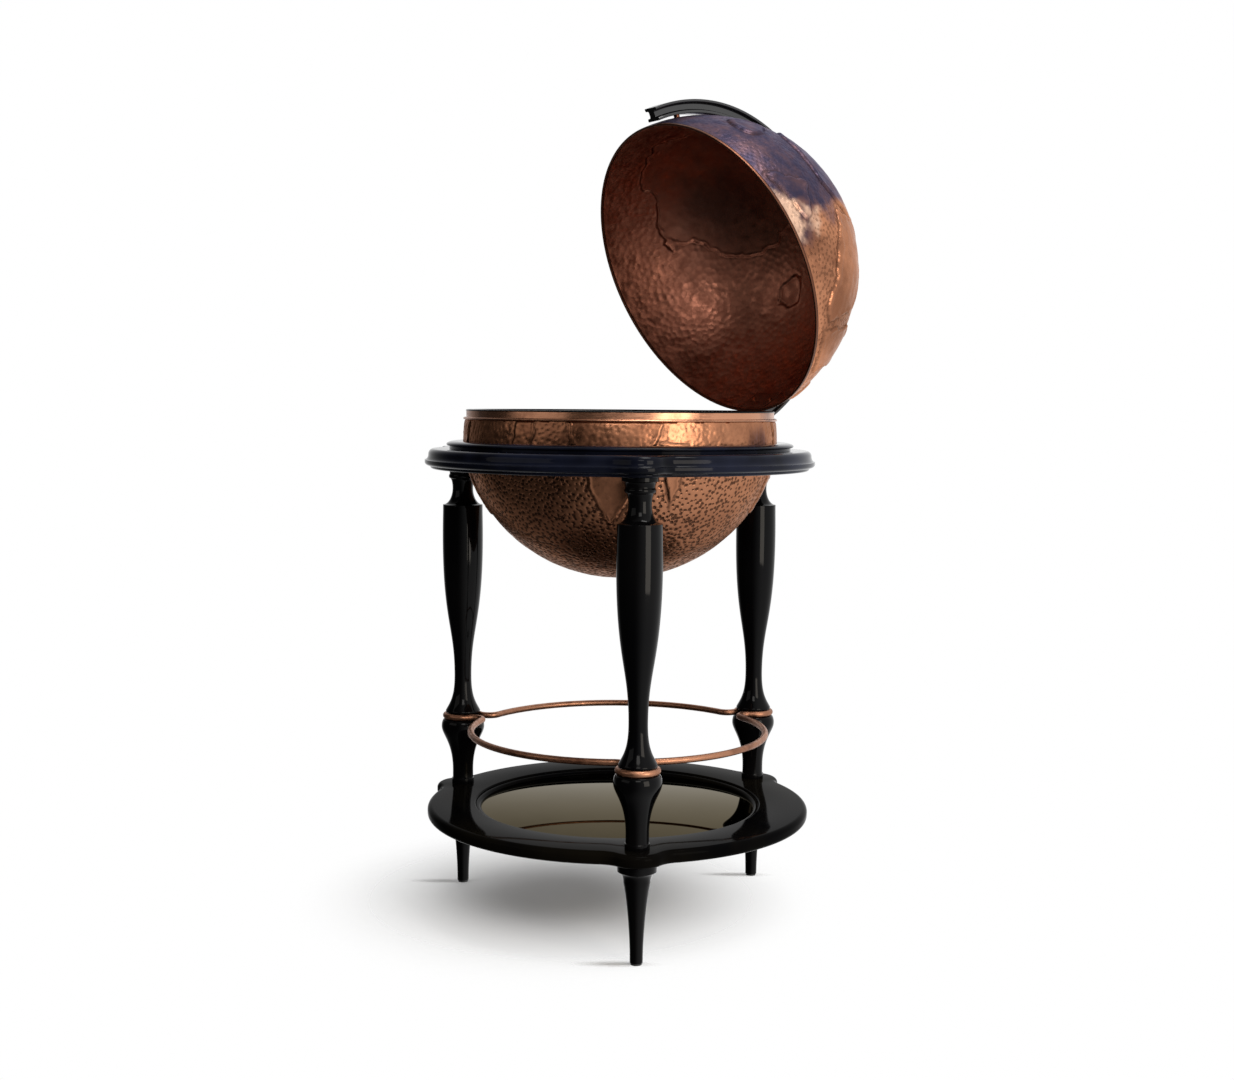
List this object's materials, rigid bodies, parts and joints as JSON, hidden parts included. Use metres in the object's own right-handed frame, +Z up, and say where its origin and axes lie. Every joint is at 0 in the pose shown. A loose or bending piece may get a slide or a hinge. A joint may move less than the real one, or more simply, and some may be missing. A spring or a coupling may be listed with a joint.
{
  "type": "floor globe bar",
  "caption": "Globe bar: a hammered copper globe in a lacquered ring on turned legs, its lid hinged open over a tray, with a lobed mirror shelf and a rail below.",
  "frame": {"origin": "on the floor under the globe's axis", "axes": "+Z up, +Y towards the rear leg and the lid's hinge, -Y the open side of the lid"},
  "size_m": [0.6, 0.727, 1.2647],
  "materials": {
    "black_lacquer": "black high-gloss lacquer",
    "black_panel": "black satin paint",
    "tray_lacquer": "black gloss lacquer",
    "hammered_copper": "hammered patinated copper",
    "polished_copper": "smooth polished copper",
    "brushed_copper": "brushed copper",
    "black_metal": "black gloss paint",
    "smoked_mirror": "smoked bronze mirror",
    "steel": "plain steel",
    "glide_plastic": "black plastic"
  },
  "bodies": {
    "stand": {"bowl_flange": "steel", "bowl_shell": "hammered_copper", "flange_screws": "steel", "floor_glides": "glide_plastic", "foot_front_left": "black_lacquer", "foot_front_right": "black_lacquer", "foot_rear": "black_lacquer", "gallery_rail": "brushed_copper", "hinge_block": "black_metal", "hinge_block_screws": "steel", "hinge_pin": "polished_copper", "horizon_ring": "black_lacquer", "leg_foot_studs": "steel", "leg_front_left": "black_lacquer", "leg_front_right": "black_lacquer", "leg_rear": "black_lacquer", "leg_top_studs": "steel", "mirror_bead": "black_lacquer", "panel_screws": "steel", "rim_collar": "polished_copper", "ring_cap": "black_lacquer", "shelf_frame": "black_lacquer", "shelf_mirror": "smoked_mirror", "shelf_panel": "black_panel", "stop_pad": "black_metal", "tray_floor": "tray_lacquer", "tray_wall": "tray_lacquer"},
    "lid": {"lid_shell": "hammered_copper", "lid_rim_hoop": "polished_copper", "meridian_arm": "black_metal", "front_post": "black_metal", "post_screw": "polished_copper", "hinge_leaf": "black_metal", "leaf_caps": "polished_copper", "leaf_backing_plate": "black_metal", "leaf_screws": "polished_copper"}
  },
  "joints": [
    {"name": "lid_hinge", "type": "hinge", "parent": "stand", "child": "lid", "pos_m": [0, 0.2595, 0.7573], "axis": [1, 0, 0], "range_deg": [0, 65]}
  ]
}
